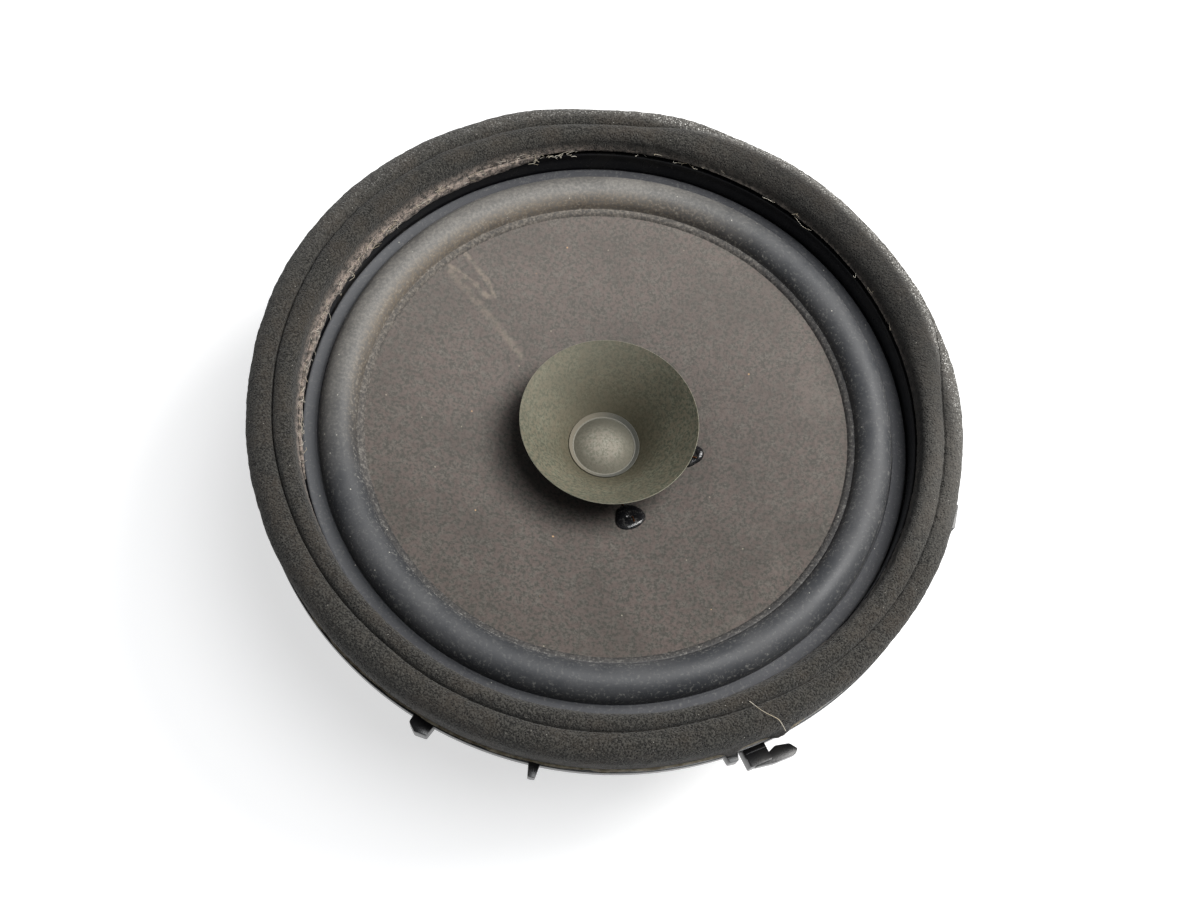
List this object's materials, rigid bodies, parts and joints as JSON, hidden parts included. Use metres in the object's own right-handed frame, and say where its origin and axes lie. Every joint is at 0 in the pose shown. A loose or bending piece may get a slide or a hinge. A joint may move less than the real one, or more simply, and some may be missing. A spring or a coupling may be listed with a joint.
{
  "type": "dual-cone car loudspeaker",
  "caption": "Round dual-cone car door loudspeaker with a moulded basket, ring-magnet motor, rubber surround and foam sealing ring; the cone assembly slides on its springy suspension.",
  "frame": {"origin": "centre of the motor's flat back face, on the axis of the voice coil", "axes": "+Z along the voice coil's axis, the way the cone faces; +X to the right and +Y away from the viewer in the view with the hook at the near right"},
  "size_m": [0.1693, 0.1692, 0.0682],
  "materials": {
    "basket_plastic": "satin",
    "foam": "matte",
    "adhesive": "matte",
    "rubber": "satin",
    "cone_paper": "matte",
    "whizzer_paper": "matte",
    "cap_paper": "matte",
    "glue": "gloss",
    "former_film": "satin",
    "copper": "gloss",
    "spider_cloth": "matte",
    "zinc_steel": "satin",
    "ferrite": "matte",
    "rivet_steel": "satin",
    "board": "matte",
    "tin_plate": "satin",
    "braid": "satin",
    "eyelet_brass": "satin"
  },
  "bodies": {
    "chassis": {"basket": "basket_plastic", "foam_gasket": "foam", "foam_adhesive": "adhesive", "surround": "rubber", "spider": "spider_cloth", "top_plate": "zinc_steel", "magnet": "ferrite", "yoke": "zinc_steel", "motor_rivets": "rivet_steel", "terminal_board": "board", "board_rivets": "rivet_steel", "terminal_positive": "tin_plate", "terminal_negative": "tin_plate", "terminal_rivets": "rivet_steel", "tinsel_lead_positive": "braid", "tinsel_lead_negative": "braid"},
    "cone_assembly": {"cone": "cone_paper", "whizzer_cone": "whizzer_paper", "dust_cap": "cap_paper", "neck_glue": "glue", "voice_coil_former": "former_film", "voice_coil_winding": "copper", "lead_eyelets": "eyelet_brass", "eyelet_glue": "glue", "voice_coil_tails": "copper"}
  },
  "joints": [
    {"name": "cone_travel", "type": "slide", "parent": "chassis", "child": "cone_assembly", "axis": [0, 0, 1], "range_m": [-0.004, 0.004], "stiffness_N_per_m": 2000, "deforming": ["surround", "spider", "tinsel_lead_positive", "tinsel_lead_negative"]}
  ]
}
